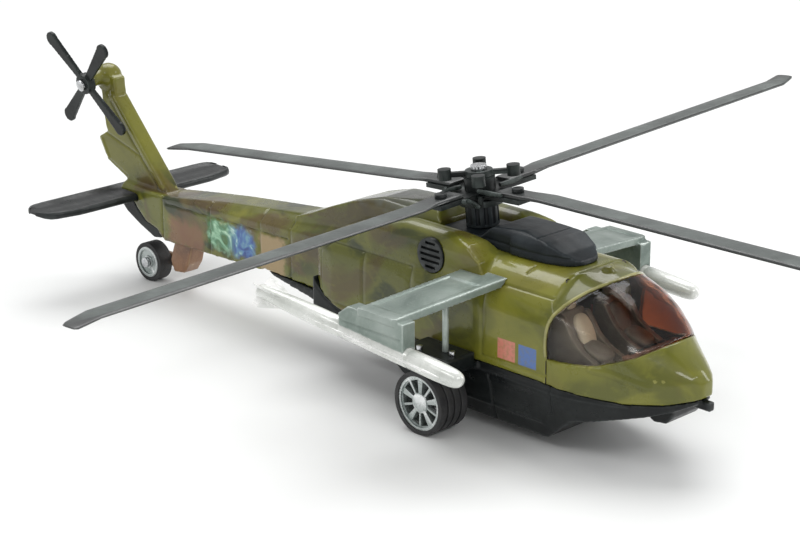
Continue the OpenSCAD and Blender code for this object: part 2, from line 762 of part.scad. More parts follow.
module motor_case() color(slate) from_mast() difference() {
    block(case_x0, case_x1, -7.6, 9, floor_z + 0.3, 21.3);
    block(case_x0 + 1.2, case_x1 - 1.2, -9, 7.8, floor_z + 1.3, 20.1);
    rod_y(axle_x, tyre_r, axle_r + 0.1, -20, 20);
    rod_y(gear_x, gear_z, arbor_r + fit, -20, 20);
}

module motor_lid() color(slate) from_mast() difference() {
    block(case_x0, case_x1, -9, -7.65, floor_z + 0.3, 21.3);
    rod_y(axle_x, tyre_r, axle_r + 0.1, -20, 20);
    rod_y(gear_x, gear_z, arbor_r + fit, -20, 20);
}

// ---------- assembly ----------

cabin_shell();
nose_shell();
windshield();
roof_cowling();
exhaust_left();
exhaust_right();
chassis();
cockpit_floor();
seat_left();
seat_right();
dash_panel();
wing_left();
wing_right();
strut_left();
strut_right();
missile_left();
missile_right();
gear_studs();
tail_cap();
stabilator();
tail_leg();
tail_axle();
tail_wheel_hub();
tail_tyre();
tail_rotor();
tail_rotor_pin();
mast_sleeve();
mast_shaft();
rotor_hub();
absorber_star();
rotor_cap();
blade_front();
blade_left();
blade_rear();
blade_right();
blade_bolts();
main_axle();
axle_pinion();
rim_left();
rim_right();
tyre_left();
tyre_right();
motor_case();
motor_lid();
spring_gear();
spring_arbor();
mainspring();
chassis_screws();
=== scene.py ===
"""Toy helicopter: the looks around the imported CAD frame. Lengths in mm unless said otherwise."""

import json
import math

import bmesh
import bpy
import numpy as np
from mathutils import Matrix, Vector
from mathutils.bvhtree import BVHTree


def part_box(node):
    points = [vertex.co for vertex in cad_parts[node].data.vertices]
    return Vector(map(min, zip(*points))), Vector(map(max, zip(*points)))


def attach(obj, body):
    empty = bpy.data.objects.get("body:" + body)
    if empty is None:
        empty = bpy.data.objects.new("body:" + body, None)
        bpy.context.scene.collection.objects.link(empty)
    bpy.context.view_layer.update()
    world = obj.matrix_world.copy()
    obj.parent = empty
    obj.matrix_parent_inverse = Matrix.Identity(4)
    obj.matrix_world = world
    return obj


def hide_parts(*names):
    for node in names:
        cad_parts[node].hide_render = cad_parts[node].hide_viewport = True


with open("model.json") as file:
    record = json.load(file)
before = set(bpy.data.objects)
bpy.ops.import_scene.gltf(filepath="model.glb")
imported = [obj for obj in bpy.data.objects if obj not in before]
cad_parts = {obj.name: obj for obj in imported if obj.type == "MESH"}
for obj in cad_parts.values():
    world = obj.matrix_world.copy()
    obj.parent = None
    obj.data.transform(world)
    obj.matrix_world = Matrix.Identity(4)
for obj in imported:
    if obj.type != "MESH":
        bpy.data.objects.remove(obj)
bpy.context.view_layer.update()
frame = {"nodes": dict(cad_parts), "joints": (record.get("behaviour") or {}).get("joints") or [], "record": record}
scene = bpy.context.scene
record = frame["record"]
nodes = frame["nodes"]
joints = {j["name"]: j for j in frame["joints"]}
body_of = {n: body for body, members in record["behaviour"]["bodies"].items() for n in members}
slot_of = {s["node"]: s["material_slot"] for s in record["subparts"]}

MM = 0.001
hub_joint = joints["main_rotor_spin"]
hub = Vector(hub_joint["pos_m"])
mast_x = hub.x
mast_side = math.asin(-hub_joint["axis"][1])
mast_back = math.atan2(-hub_joint["axis"][0], hub_joint["axis"][2])
lean = Matrix.Rotation(-mast_back, 4, "Y") @ Matrix.Rotation(mast_side, 4, "X")


def at(x, y, z):
    """A point given in mm from the mast axis on the ground."""
    return Vector((x * MM + mast_x, y * MM, z * MM))


# ---------- camera, lights, floor ----------

CAMERA_TURN = (135.5, 18.5, -0.2)  # yaw, downward pitch and roll in degrees
CAMERA_PLACE = (401.5, -426, 234)
CAMERA_LENS = 98.52

WORLD_LIGHT = 0.58
LIGHTS = [  # name, place in metres, size in metres, watts
    ("sky_panel", (-3.2, 2.6, 7.6), (8.0, 6.0), 620),
    ("front_strip", (0.75, -0.15, 0.62), (0.55, 0.08), 1.6),
    ("side_strip", (-0.15, -0.75, 0.80), (0.8, 0.12), 2.0),
    ("rim_strip", (0.66, 0.85, 0.5), (0.2, 0.7), 3.0),
]
LIGHT_TARGET = (0, 0, 0.03)
FLOOR_REACH = 6.0


def make_camera():
    yaw, pitch, roll = (math.radians(v) for v in CAMERA_TURN)
    forward = Vector(
        (math.cos(yaw) * math.cos(pitch), math.sin(yaw) * math.cos(pitch), -math.sin(pitch)))
    right = forward.cross(Vector((0, 0, 1))).normalized()
    up = right.cross(forward)
    side = math.cos(roll) * right + math.sin(roll) * up
    top = -math.sin(roll) * right + math.cos(roll) * up
    data = bpy.data.cameras.new("camera")
    data.sensor_width = 36
    data.lens = CAMERA_LENS
    obj = bpy.data.objects.new("camera", data)
    scene.collection.objects.link(obj)
    turn = Matrix((side, top, -forward)).transposed().to_4x4()
    obj.matrix_world = Matrix.Translation(at(*CAMERA_PLACE)) @ turn
    scene.camera = obj


def soft_light(name, place, size, watts):
    data = bpy.data.lights.new(name, "AREA")
    data.shape = "RECTANGLE"
    data.size, data.size_y = size
    data.energy = watts
    obj = bpy.data.objects.new(name, data)
    scene.collection.objects.link(obj)
    aim = (Vector(LIGHT_TARGET) - Vector(place)).to_track_quat("-Z", "Y")
    obj.matrix_world = Matrix.Translation(place) @ aim.to_matrix().to_4x4()


def make_studio():
    world = bpy.data.worlds.new("studio")
    scene.world = world
    world.use_nodes = True
    back = world.node_tree.nodes["Background"]
    back.inputs["Color"].default_value = (1, 1, 1, 1)
    back.inputs["Strength"].default_value = WORLD_LIGHT
    for light in LIGHTS:
        soft_light(*light)
    scene.view_settings.view_transform = "Standard"
    mesh = bpy.data.meshes.new("floor")
    r = FLOOR_REACH
    mesh.from_pydata([(-r, -r, 0), (r, -r, 0), (r, r, 0), (-r, r, 0)], [], [(0, 1, 2, 3)])
    floor = bpy.data.objects.new("floor", mesh)
    scene.collection.objects.link(floor)
    return floor


make_camera()
floor = make_studio()


# ---------- materials ----------

class Graph:
    """A material's node tree, with short calls for the nodes that repeat."""

    def __init__(self, name):
        self.material = bpy.data.materials.new(name)
        self.material.use_nodes = True
        self.tree = self.material.node_tree
        self.tree.nodes.clear()
        coords = self.tree.nodes.new("ShaderNodeTexCoord")
        self.place = coords.outputs["Object"]

    def add(self, kind, inputs, **props):
        node = self.tree.nodes.new(kind)
        for key, value in props.items():
            setattr(node, key, value)
        for key, value in inputs.items():
            if isinstance(value, bpy.types.NodeSocket):
                self.tree.links.new(value, node.inputs[key])
            else:
                node.inputs[key].default_value = value
        return node

    def noise(self, scale, detail=3.0, rough=0.55, warp=0.0, where=None):
        return self.add("ShaderNodeTexNoise", {
            "Vector": where or self.place, "Scale": scale, "Detail": detail,
            "Roughness": rough, "Distortion": warp}).outputs["Fac"]

    def stretched(self, scale, turn=(0, 0, 0)):
        return self.add("ShaderNodeMapping", {
            "Vector": self.place, "Scale": scale, "Rotation": turn}).outputs["Vector"]

    def ramp(self, value, stops):
        node = self.add("ShaderNodeValToRGB", {"Fac": value})
        marks = node.color_ramp.elements
        while len(marks) < len(stops):
            marks.new(0.5)
        for mark, (pos, colour) in zip(marks, stops):
            mark.position = pos
            mark.color = (*colour, 1)
        return node.outputs["Color"]

    def remap(self, value, a, b, c, d):
        return self.add("ShaderNodeMapRange", {
            "Value": value, "From Min": a, "From Max": b,
            "To Min": c, "To Max": d}).outputs["Result"]

    def math(self, op, *values):
        node = self.tree.nodes.new("ShaderNodeMath")
        node.operation = op
        for i, value in enumerate(values):
            if isinstance(value, bpy.types.NodeSocket):
                self.tree.links.new(value, node.inputs[i])
            else:
                node.inputs[i].default_value = value
        return node.outputs[0]

    def mix(self, factor, a, b, blend="MIX"):
        node = self.tree.nodes.new("ShaderNodeMix")
        node.data_type = "RGBA"
        node.blend_type = blend
        for i, value in ((0, factor), (6, a), (7, b)):
            if isinstance(value, bpy.types.NodeSocket):
                self.tree.links.new(value, node.inputs[i])
            elif i:
                node.inputs[i].default_value = (*value, 1)
            else:
                node.inputs[i].default_value = value
        return node.outputs[2]

    def edges(self, low=0.515, high=0.57, strength=1.0):
        """Bare or polished edges, broken up by noise; on the body paint they are partly a painted highlight."""
        sharp = self.add("ShaderNodeNewGeometry", {}).outputs["Pointiness"]
        ridge = self.remap(sharp, low, high, 0, strength)
        broken = self.remap(self.noise(260, 4), 0.35, 0.62, 0.25, 1)
        return self.math("MULTIPLY", ridge, broken)

    def bump(self, height, strength, distance, normal=None):
        inputs = {"Height": height, "Strength": strength, "Distance": distance}
        if normal:
            inputs["Normal"] = normal
        return self.add("ShaderNodeBump", inputs).outputs["Normal"]

    def finish(self, colour, rough, normal=None, **constants):
        inputs = {"Base Color": colour, "Roughness": rough}
        if normal:
            inputs["Normal"] = normal
        inputs.update({key.replace("_", " "): value for key, value in constants.items()})
        shader = self.add("ShaderNodeBsdfPrincipled", inputs)
        out = self.tree.nodes.new("ShaderNodeOutputMaterial")
        self.tree.links.new(shader.outputs[0], out.inputs["Surface"])
        return self.material


def plastic(name, dark, mid, light, patch=60, rough=(0.3, 0.45), grain=(700, 0.12), wear=None,
            **constants):
    """Moulded plastic: slow colour drift, fine grain, scuffs in the gloss and worn edges."""
    g = Graph(name)
    drift = g.noise(patch, 5, 0.6, 0.6)
    colour = g.ramp(drift, [(0.32, dark), (0.5, mid), (0.7, light)])
    specks = g.remap(g.noise(1500, 2), 0.58, 0.72, 0, 0.35)
    colour = g.mix(specks, colour, light)
    if wear:
        colour = g.mix(g.edges(), colour, wear)
    scuffs = g.noise(1, 6, 0.7, where=g.stretched((90, 420, 240), (0.3, 0.2, 0.5)))
    gloss = g.remap(scuffs, 0.35, 0.7, rough[0], rough[1])
    normal = g.bump(g.noise(grain[0], 3), grain[1], 0.0004)
    normal = g.bump(g.noise(90, 2), 0.05, 0.002, normal)
    return g.finish(colour, gloss, normal, **constants)


OLIVE = (0.125, 0.130, 0.016)
LEAF = (0.21, 0.205, 0.024)
DARK_GREEN = (0.026, 0.034, 0.007)
EARTH = (0.095, 0.058, 0.020)
COCKPIT_SHADE_COLOUR = (0.016, 0.011, 0.008)
COCKPIT_REAR = 40           # inward faces in front of this x get a painted shade, near black
COCKPIT_MIDDLE = (58, 0, 24)
CABIN_SIDE = 0.017          # markings lie on faces further out than this, in metres

# areas seen from the side: x from and to, z from and to, width of the soft edge, strength, colour
SIDE_AREAS = [
    (-190, -134, 33, 90, 6, 0.75, (0.17, 0.165, 0.02)),         # plain fin
    (-80, 10, 15, 70, 22, 0.36, DARK_GREEN),                    # behind the wing, painted shade from the wing and the rotor blades
    (-62, -14, 50.5, 60, 3, 0.75, (0.105, 0.115, 0.098)),       # grey hump behind the rotor, a painted sheen on its top
    (-134, -112, 16, 28, 3, 0.8, (0.20, 0.085, 0.04)),          # brown end of the boom
    (-85, -71, 19, 33, 2, 0.85, (0.36, 0.25, 0.13)),            # beige panel on the boom
]
CLOUD_AREA = (-112, -86, 21, 32.5, 2.4)
CLOUD_GREEN, CLOUD_BLUE = -101, -96     # its green rear ends at one x, its blue front at the other
MARKS = [(25.6, 32.2, (0.62, 0.22, 0.16)), (33.2, 39.8, (0.09, 0.17, 0.42))]
MARK_HEIGHT = (23.8, 29.8)


def body_paint():
    """Glossy olive lacquer with soft camouflage and plain markings, painted shade behind the wing, in creases and
    inside the cockpit, a painted sheen on the hump and worn edges that are partly a painted highlight.
    """
    g = Graph("body_paint")
    axes = g.add("ShaderNodeSeparateXYZ", {"Vector": g.place}).outputs
    rearward = g.remap(axes["X"], 50 * MM, 0, 0.25, 1)  # camouflage fades towards the nose
    slanted = g.stretched((1.0, 1.0, 1.5), (0.0, 0.6, 0.3))
    big = g.noise(46, 4, 0.5, 0.9, slanted)
    colour = g.ramp(big, [(0.38, DARK_GREEN), (0.48, OLIVE), (0.60, OLIVE), (0.70, LEAF)])
    colour = g.mix(rearward, g.ramp(big, [(0.35, OLIVE), (0.62, LEAF)]), colour)
    earth = g.remap(g.noise(30, 3, 0.5, 1.2, g.stretched((1, 1.3, 1.6), (0.4, -0.5, 1.1))),
                    0.50, 0.58, 0, 0.75)
    colour = g.mix(g.math("MULTIPLY", earth, rearward), colour, EARTH)
    streak = g.remap(g.noise(150, 4, 0.6, 0.8, slanted), 0.56, 0.7, 0, 0.4)
    colour = g.mix(streak, colour, LEAF)
    wander = g.remap(g.noise(300, 3), 0.3, 0.7, -0.0012, 0.0012)

    def patch(x0, x1, z0, z1, soft):
        """1 inside a rectangle seen from the side, with edges soft mm wide."""
        masks = []
        for axis, a, b in (("X", x0 * MM + mast_x, x1 * MM + mast_x), ("Z", z0 * MM, z1 * MM)):
            value = g.math("ADD", axes[axis], wander) if soft > 1 else axes[axis]
            away = g.math("ABSOLUTE", g.math("SUBTRACT", value, (a + b) / 2))
            half = (b - a) / 2
            masks.append(g.remap(away, half - soft * MM, half, 1, 0))
        return g.math("MULTIPLY", *masks)

    for *area, strength, tone in SIDE_AREAS:
        colour = g.mix(g.math("MULTIPLY", patch(*area), strength), colour, tone)
    cloud = g.noise(190, 3, 0.5, 1.5)
    blue = g.ramp(cloud, [(0.36, (0.02, 0.06, 0.25)), (0.50, (0.06, 0.16, 0.42)),
                          (0.62, (0.16, 0.36, 0.45)), (0.72, (0.6, 0.75, 0.8))])
    green = g.ramp(cloud, [(0.34, (0.05, 0.13, 0.03)), (0.48, (0.08, 0.24, 0.13)),
                           (0.60, (0.30, 0.55, 0.36)), (0.70, (0.6, 0.8, 0.62))])
    forward = g.remap(axes["X"], CLOUD_GREEN * MM + mast_x, CLOUD_BLUE * MM + mast_x, 0, 1)
    swirl = g.mix(forward, green, blue)
    colour = g.mix(g.math("MULTIPLY", patch(*CLOUD_AREA), 0.9), colour, swirl)
    outside = g.remap(g.math("ABSOLUTE", axes["Y"]), CABIN_SIDE, CABIN_SIDE + 0.0005, 0, 1)
    for x0, x1, mark in MARKS:
        printed = g.math("MULTIPLY", patch(x0, x1, *MARK_HEIGHT, 0.25), outside)
        worn = g.remap(g.noise(900, 4), 0.3, 0.55, 0.55, 1)
        colour = g.mix(g.math("MULTIPLY", printed, worn), colour, mark)
    # worn edges in light yellowish olive, partly real wear and partly a painted highlight along the edges
    colour = g.mix(g.edges(0.53, 0.575, 0.7), colour, (0.44, 0.41, 0.12))
    # painted shade: creases and hollows, found by low pointiness, go dark
    painted_crease_shade = g.add("ShaderNodeNewGeometry", {}).outputs["Pointiness"]
    colour = g.mix(g.remap(painted_crease_shade, 0.44, 0.49, 0.75, 0), colour, (0.02, 0.022, 0.006))
    # painted shade inside the cockpit: faces turned inward, in front of COCKPIT_REAR, go near black
    outward = g.add("ShaderNodeVectorMath", {0: g.place, 1: tuple(at(*COCKPIT_MIDDLE))},
                    operation="SUBTRACT").outputs[0]
    facing = g.add("ShaderNodeVectorMath", {
        0: outward, 1: g.add("ShaderNodeNewGeometry", {}).outputs["True Normal"]},
        operation="DOT_PRODUCT").outputs["Value"]
    inside = g.math("MULTIPLY", g.math("LESS_THAN", facing, 0.0),
                    g.math("GREATER_THAN", axes["X"], COCKPIT_REAR * MM + mast_x))
    colour = g.mix(inside, colour, COCKPIT_SHADE_COLOUR)
    gloss = g.remap(g.noise(120, 6, 0.7), 0.3, 0.7, 0.22, 0.42)
    normal = g.bump(g.noise(420, 3, 0.5), 0.10, 0.0006)
    normal = g.bump(g.noise(70, 2), 0.10, 0.003, normal)
    return g.finish(colour, gloss, normal, Specular_IOR_Level=0.25, Coat_Weight=0.45,
                    Coat_Roughness=0.07)


# a blade's black border, partly painted shade along its edges: its middle line, then from where to where the black
# fades in or out
PAINT_MIDDLE = 1.1
PAINT_RIM, PAINT_ROOT, PAINT_TIP = (2.5, 3.1), (20, 27), (134, 137)


def blade_paint(name, turn):
    """Grey-green blade with black edges and root; its lighter middle is partly a painted sheen and its black rim
    partly painted shade. turn is the blade's angle about the mast.
    """
    g = Graph(name)
    moved = g.add("ShaderNodeVectorMath", {0: g.place, 1: tuple(hub)}, operation="SUBTRACT")
    local = g.add("ShaderNodeVectorRotate", {
        "Vector": moved.outputs[0], "Angle": -turn}, rotation_type="Z_AXIS").outputs[0]
    axes = g.add("ShaderNodeSeparateXYZ", {"Vector": local}).outputs
    grain = g.noise(1, 5, 0.6, where=g.stretched((60, 60, 60)))
    # grey-green top, its lighter middle partly the blade's own tone and partly a painted sheen
    top = g.ramp(grain, [(0.3, (0.028, 0.036, 0.034)), (0.5, (0.055, 0.067, 0.062)),
                         (0.72, (0.11, 0.13, 0.122))])
    across = g.math("ABSOLUTE", g.math("SUBTRACT", axes["Y"], PAINT_MIDDLE * MM))
    rim = g.remap(g.math("ADD", across, g.remap(g.noise(160, 3), 0.3, 0.7, -0.0003, 0.0003)),
                  PAINT_RIM[0] * MM, PAINT_RIM[1] * MM, 0, 0.9)
    colour = g.mix(rim, top, (0.012, 0.014, 0.014))
    root = g.remap(axes["X"], PAINT_ROOT[0] * MM, PAINT_ROOT[1] * MM, 0.85, 0)
    colour = g.mix(root, colour, (0.014, 0.016, 0.016))
    tip = g.remap(axes["X"], PAINT_TIP[0] * MM, PAINT_TIP[1] * MM, 0, 0.6)
    colour = g.mix(tip, colour, (0.02, 0.022, 0.022))
    gloss = g.remap(g.noise(260, 5, 0.7), 0.3, 0.7, 0.26, 0.48)
    normal = g.bump(g.noise(900, 3), 0.12, 0.0004)
    return g.finish(colour, gloss, normal, Coat_Weight=0.15, Coat_Roughness=0.2)


def amber_glass():
    """Clear plastic, brownish on the right and amber red on the left, with fine scratches; the deep red on the
    left is a painted backlight on that pane.
    """
    g = Graph("amber_glass")
    depth = g.math("ADD", g.add("ShaderNodeSeparateXYZ", {"Vector": g.place}).outputs["Y"],
                   g.remap(g.noise(50, 3), 0.3, 0.7, -0.002, 0.002))
    # the tint deepens to amber red on the left, a painted backlight on the far pane
    tint_and_painted_backlight = g.ramp(g.remap(depth, -0.016, 0.016, 0, 1), [
        (0.25, (0.80, 0.75, 0.67)), (0.60, (0.42, 0.32, 0.25)), (0.82, (0.21, 0.05, 0.017))])
    scratch = g.noise(1, 6, 0.75, where=g.stretched((60, 900, 420), (0.2, 0.5, 0.9)))
    gloss = g.remap(scratch, 0.55, 0.75, 0.02, 0.14)
    normal = g.bump(g.noise(60, 2), 0.05, 0.002)
    return g.finish(tint_and_painted_backlight, gloss, normal, Transmission_Weight=1.0, IOR=1.06, Coat_Weight=0.45,
                    Coat_Roughness=0.09, Coat_IOR=1.5)


def turned_metal(name, dark, light, rough):
    g = Graph(name)
    rings = g.noise(1, 5, 0.7, where=g.stretched((500, 4000, 500)))
    colour = g.ramp(rings, [(0.3, dark), (0.7, light)])
    grime = g.remap(g.noise(300, 4), 0.5, 0.75, 0, 0.5)
    colour = g.mix(grime, colour, (0.12, 0.11, 0.1))
    gloss = g.remap(g.noise(800, 4), 0.3, 0.7, rough, rough + 0.2)
    return g.finish(colour, gloss, g.bump(rings, 0.15, 0.0002), Metallic=1.0)


def floor_paint():
    g = Graph("floor_paint")
    colour = g.ramp(g.noise(5, 3), [(0.3, (0.765, 0.775, 0.77)), (0.7, (0.79, 0.795, 0.79))])
    gloss = g.remap(g.noise(40, 4), 0.3, 0.7, 0.5, 0.6)
    return g.finish(colour, gloss, g.bump(g.noise(900, 2), 0.02, 0.0002))


materials = {
    "body_paint": body_paint(),
    "black_plastic": plastic("black_plastic", (0.004, 0.005, 0.006), (0.007, 0.009, 0.009),
                             (0.016, 0.019, 0.019), wear=(0.05, 0.056, 0.056), rough=(0.26, 0.42),
                             Specular_IOR_Level=0.28),
    "slate_plastic": plastic("slate_plastic", (0.006, 0.008, 0.010), (0.012, 0.016, 0.019),
                             (0.024, 0.031, 0.035), wear=(0.07, 0.085, 0.09), rough=(0.34, 0.5),
                             Specular_IOR_Level=0.25),
    "amber_glass": amber_glass(),
    "cream_plastic": plastic("cream_plastic", (0.62, 0.57, 0.46), (0.76, 0.72, 0.60),
                             (0.86, 0.83, 0.72), wear=(0.9, 0.88, 0.8), rough=(0.45, 0.6)),
    "seat_grey": plastic("seat_grey", (0.10, 0.09, 0.08), (0.17, 0.16, 0.145), (0.26, 0.25, 0.23),
                         wear=(0.4, 0.39, 0.36), rough=(0.45, 0.62)),
    "dash_brown": plastic("dash_brown", (0.10, 0.045, 0.03), (0.20, 0.10, 0.075),
                          (0.36, 0.21, 0.17), wear=(0.45, 0.3, 0.25), rough=(0.4, 0.6)),
    "wing_silver": plastic("wing_silver", (0.13, 0.17, 0.15), (0.22, 0.27, 0.24),
                           (0.33, 0.38, 0.35), wear=(0.72, 0.78, 0.74), rough=(0.28, 0.42),
                           Metallic=0.35),
    "missile_silver": plastic("missile_silver", (0.50, 0.52, 0.48), (0.66, 0.68, 0.64),
                              (0.80, 0.81, 0.78), wear=(0.95, 0.95, 0.93), rough=(0.2, 0.34),
                              Metallic=0.15, Coat_Weight=0.4, Coat_Roughness=0.1),
    "rotor_plastic": plastic("rotor_plastic", (0.003, 0.004, 0.004), (0.006, 0.008, 0.008),
                             (0.014, 0.018, 0.017), wear=(0.07, 0.085, 0.08), rough=(0.28, 0.45),
                             Specular_IOR_Level=0.22),
    "tail_brown": plastic("tail_brown", (0.12, 0.05, 0.02), (0.24, 0.115, 0.05), (0.36, 0.22, 0.11),
                          wear=(0.5, 0.36, 0.2), rough=(0.3, 0.5), Coat_Weight=0.3,
                          Coat_Roughness=0.15),
    "steel": turned_metal("steel", (0.42, 0.43, 0.45), (0.72, 0.73, 0.74), 0.16),
    "rim_silver": plastic("rim_silver", (0.24, 0.28, 0.27), (0.40, 0.44, 0.43), (0.58, 0.62, 0.61),
                          wear=(0.9, 0.92, 0.92), rough=(0.2, 0.36), Metallic=0.7),
    "tyre": plastic("tyre", (0.007, 0.007, 0.008), (0.012, 0.012, 0.013), (0.022, 0.022, 0.023),
                    wear=(0.06, 0.06, 0.06), rough=(0.5, 0.7), grain=(1400, 0.3)),
    "gear_white": plastic("gear_white", (0.6, 0.59, 0.54), (0.70, 0.69, 0.64), (0.76, 0.75, 0.71),
                          rough=(0.4, 0.55)),
}
floor.data.materials.append(floor_paint())


# ---------- mesh helpers ----------

def add_piece(name, mesh, slot, body, replaced=(), angle=38, material=None):
    """Puts a mesh in the scene with the material of its slot, under its body, and hides the CAD nodes it stands
    for.
    """
    mesh.materials.clear()
    mesh.materials.append(material or materials[slot])
    mesh.shade_smooth()
    mesh.set_sharp_from_angle(angle=math.radians(angle))
    obj = bpy.data.objects.new(name, mesh)
    scene.collection.objects.link(obj)
    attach(obj, body)
    if replaced:
        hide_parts(*replaced)
    return obj


def mesh_from(name, points, faces):
    mesh = bpy.data.meshes.new(name)
    mesh.from_pydata([tuple(p) for p in points], [], faces)
    bm = bmesh.new()
    bm.from_mesh(mesh)
    bmesh.ops.recalc_face_normals(bm, faces=bm.faces)
    bm.to_mesh(mesh)
    bm.free()
    mesh.update()
    return mesh


def loft_data(sections, base=0):
    """Closed skin over loops that all have the same number of points."""
    n = len(sections[0])
    points = [p for loop in sections for p in loop]
    faces = []
    for i in range(len(sections) - 1):
        for k in range(n):
            a, b = base + i * n + k, base + i * n + (k + 1) % n
            faces.append((a, b, b + n, a + n))
    faces.append(tuple(base + k for k in range(n)))
    faces.append(tuple(base + len(points) - n + k for k in range(n)))
    return points, faces


def loft(name, sections):
    return mesh_from(name, *loft_data(sections))


def join_data(parts):
    """Several closed skins in one mesh."""
    points, faces = [], []
    for part_points, part_faces in parts:
        shift = len(points)
        points += list(part_points)
        faces += [tuple(i + shift for i in f) for f in part_faces]
    return points, faces


def tube_data(path, radius, sides=10):
    """A round bar along a path. radius is one value or one for each point."""
    path = [Vector(p) for p in path]
    radii = radius if isinstance(radius, (list, tuple)) else [radius] * len(path)
    sections = []
    across = None
    for i, p in enumerate(path):
        along = (path[min(i + 1, len(path) - 1)] - path[max(i - 1, 0)]).normalized()
        if across is None:
            across = along.orthogonal().normalized()
        across = (across - along * across.dot(along)).normalized()
        other = along.cross(across)
        turns = (2 * math.pi * k / sides for k in range(sides))
        sections.append([p + radii[i] * (math.cos(t) * across + math.sin(t) * other)
                         for t in turns])
    return loft_data(sections)


def lathe_data(profile, matrix, sides=40):
    """A turned part: profile gives (radius, height) pairs, round local Z."""
    sections = []
    for r, h in profile:
        turns = (2 * math.pi * k / sides for k in range(sides))
        r = max(r, 1e-5)
        sections.append([matrix @ Vector((r * math.cos(t), r * math.sin(t), h)) for t in turns])
    return loft_data(sections)


def clean_copy(node):
    """A CAD node's mesh with its corners joined."""
    bm = bmesh.new()
    bm.from_mesh(nodes[node].data)
    bmesh.ops.remove_doubles(bm, verts=bm.verts, dist=2e-6)
    return bm


SHARP_EDGE = math.radians(32)
FLAT_EDGE = math.radians(0.3)


def bevelled(node, width):
    """A CAD node with edges rounded over width mm."""
    bm = clean_copy(node)
    bmesh.ops.dissolve_limit(bm, angle_limit=FLAT_EDGE, verts=bm.verts, edges=bm.edges)
    sharp = [e for e in bm.edges
             if len(e.link_faces) == 2 and e.calc_face_angle(0) > SHARP_EDGE]
    bmesh.ops.bevel(bm, geom=sharp, offset=width * MM, segments=2, profile=0.65,
                    affect="EDGES", clamp_overlap=True)
    bmesh.ops.triangulate(bm, faces=[f for f in bm.faces if len(f.verts) > 4])
    mesh = bpy.data.meshes.new(node)
    bm.to_mesh(mesh)
    bm.free()
    add_piece("soft_" + node, mesh, slot_of[node], body_of[node], (node,))


def relax(co, edges, weight, rounds):
    """Smooths a mesh without shrinking it much."""
    n = len(co)
    degree = np.maximum(np.bincount(edges.ravel(), minlength=n), 1)[:, None]
    a, b = edges[:, 0], edges[:, 1]
    for _ in range(rounds):
        for step in (0.6, -0.52):
            total = np.stack([np.bincount(a, co[b, c], n) + np.bincount(b, co[a, c], n)
                              for c in range(3)], 1)
            co = co + step * weight[:, None] * (total / degree - co)
    return co


def line_distance(u, v, stroke):
    """Distance of each point (u, v) to a bent line."""
    best = np.full(len(u), 1e9)
    for (u0, v0), (u1, v1) in zip(stroke[:-1], stroke[1:]):
        du, dv = u1 - u0, v1 - v0
        t = np.clip(((u - u0) * du + (v - v0) * dv) / (du * du + dv * dv), 0, 1)
        best = np.minimum(best, np.hypot(u - u0 - t * du, v - v0 - t * dv))
    return best


def press(co, normals, lift, side_lines=(), top_lines=(), width=0.5):
    """Moves a skin by lift mm along lines seen from the side (x, z) or from above (x, y)."""
    mm = (co - np.array([mast_x, 0, 0])) / MM
    move = np.zeros(len(co))
    outer = normals[:, 1] * np.sign(mm[:, 1]) > 0.25
    upper = normals[:, 2] > 0.45
    for mask, other, lines in ((outer, 2, side_lines), (upper, 1, top_lines)):
        for stroke in lines:
            far = line_distance(mm[:, 0], mm[:, other], stroke)
            shape = np.clip(1 - (far / width) ** 2, 0, 1) ** 1.5
            move = np.maximum(move, np.where(mask, shape, 0))
    return co + normals * (move * lift * MM)[:, None]


def softened(node, voxel=0.45, rounds=12, weight=None, shape=None, keep=None, name=None, **options):
    """A CAD node remeshed finely, its corners relaxed and its detail pressed in."""
    bm = clean_copy(node)
    mesh = bpy.data.meshes.new(node)
    bm.to_mesh(mesh)
    bm.free()
    obj = bpy.data.objects.new(node, mesh)
    scene.collection.objects.link(obj)
    modifier = obj.modifiers.new("remesh", "REMESH")
    modifier.mode = "VOXEL"
    modifier.voxel_size = voxel * MM
    depsgraph = bpy.context.evaluated_depsgraph_get()
    dense = bpy.data.meshes.new_from_object(obj.evaluated_get(depsgraph))
    co = np.empty(len(dense.vertices) * 3)
    dense.vertices.foreach_get("co", co)
    co = co.reshape(-1, 3)
    edges = np.empty(len(dense.edges) * 2, np.int64)
    dense.edges.foreach_get("vertices", edges)
    edges = edges.reshape(-1, 2)
    amount = np.ones(len(co)) if weight is None else weight((co - np.array([mast_x, 0, 0])) / MM)
    co = relax(co, edges, amount, rounds)
    dense.vertices.foreach_set("co", co.ravel())
    dense.update()
    if shape:
        normals = np.empty(len(dense.vertices) * 3)
        dense.vertices.foreach_get("normal", normals)
        co = shape(co, normals.reshape(-1, 3))
        dense.vertices.foreach_set("co", co.ravel())
        dense.update()
    low, high = (np.array(v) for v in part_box(node))
    dense.vertices.foreach_set("co", np.clip(co, low, high).ravel())
    dense.update()
    bpy.data.objects.remove(obj)
    if keep:
        thin = bpy.data.objects.new("thin", dense)
        scene.collection.objects.link(thin)
        modifier = thin.modifiers.new("decimate", "DECIMATE")
        modifier.ratio = keep
        depsgraph = bpy.context.evaluated_depsgraph_get()
        dense = bpy.data.meshes.new_from_object(thin.evaluated_get(depsgraph))
        bpy.data.objects.remove(thin)
    return add_piece(name or "soft_" + node, dense, slot_of[node], body_of[node], (node,),
                     angle=options.pop("angle", 60), **options)


# ---------- cabin, nose and glass ----------

SEAM_X = 43.1
GLASS_X, GLASS_Z, GLASS_R = 61, 32, 18  # the round rear edge of the glass
FREE_DISTANCE = 1.6                     # full smoothing this far from the seam and the glass

